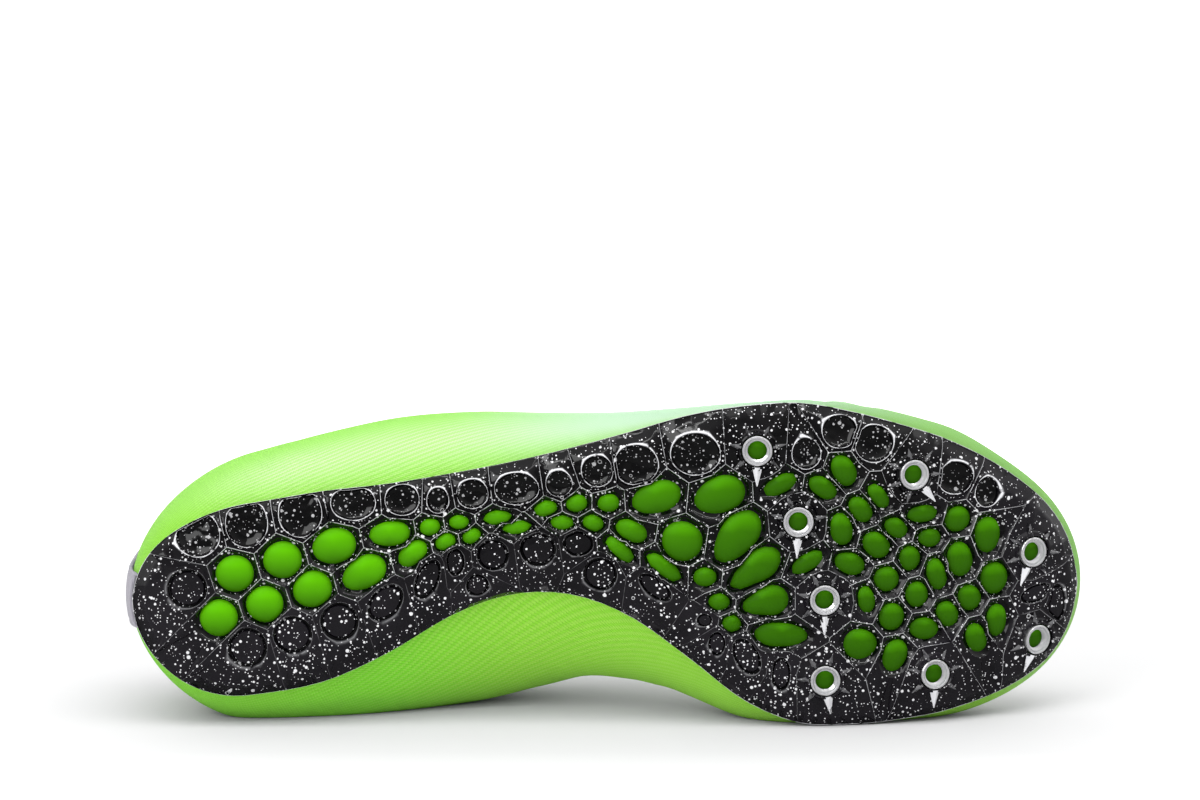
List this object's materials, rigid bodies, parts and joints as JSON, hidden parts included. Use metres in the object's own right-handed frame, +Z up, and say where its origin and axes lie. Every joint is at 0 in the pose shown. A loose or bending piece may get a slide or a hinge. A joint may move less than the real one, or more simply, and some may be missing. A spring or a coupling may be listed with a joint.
{
  "type": "track spike shoe",
  "caption": "Low lace-up running shoe with a thin knit upper and a rigid plate of open honeycomb cells with metal sockets for screw-in spikes.",
  "frame": {"origin": "on the floor, under the middle of the shoe's box", "axes": "+X from heel to toe, +Y from the sole to the collar, +Z up from the medial side, on which the shoe lies, to the lateral side"},
  "size_m": [0.282, 0.0782, 0.0956],
  "materials": {
    "plate": "glossy black with dense fine white speckles",
    "socket": "turned and nickel plated",
    "board": "smooth satin green",
    "knit": "fine diagonal knit, with a pale sheen on the lateral side",
    "tape": "fine woven lavender grey tape",
    "binding": "matt black",
    "lining": "matt black knit",
    "lace": "flat woven lace"
  },
  "bodies": {
    "root": {"outsole_plate": "plate", "spike_socket_1": "socket", "spike_socket_2": "socket", "spike_socket_3": "socket", "spike_socket_4": "socket", "spike_socket_5": "socket", "spike_socket_6": "socket", "spike_socket_7": "socket", "spike_socket_8": "socket", "midsole_board": "board", "insole": "lining", "upper": "knit", "heel_strip": "tape", "tongue": "lining", "laces": "lace", "collar_binding": "binding"}
  },
  "joints": []
}
